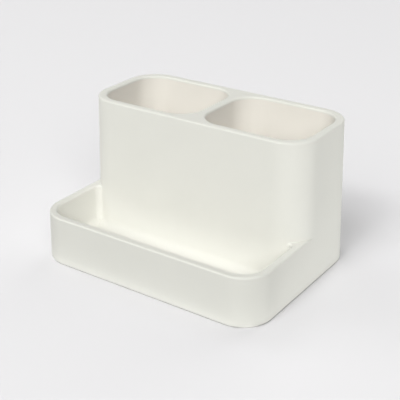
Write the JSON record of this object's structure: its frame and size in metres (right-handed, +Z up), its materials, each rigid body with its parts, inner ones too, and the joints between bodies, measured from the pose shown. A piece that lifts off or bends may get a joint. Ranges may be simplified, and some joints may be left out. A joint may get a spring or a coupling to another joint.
{
  "type": "vanity organizer",
  "caption": "Countertop organizer with an open tray in front of a taller block of side-by-side open cups, with rounded corners, thick rounded rims and a closed base on round pads.",
  "frame": {"origin": "on the supporting surface, under the middle of the organizer's width and depth", "axes": "+X to the right along the width, -Y towards the tray at the front, +Z up"},
  "size_m": [0.19, 0.14, 0.111],
  "materials": {
    "shell": "smooth satin, warm white",
    "base": "fine matte, warm white",
    "screw": "zinc plated",
    "foot": "matte grey"
  },
  "bodies": {
    "root": {"outer_casing": "shell", "left_cup_liner": "shell", "right_cup_liner": "shell", "base_plate": "base", "base_screws": "screw", "foot_front_left": "foot", "foot_front_right": "foot", "foot_rear_left": "foot", "foot_rear_right": "foot"}
  },
  "joints": []
}
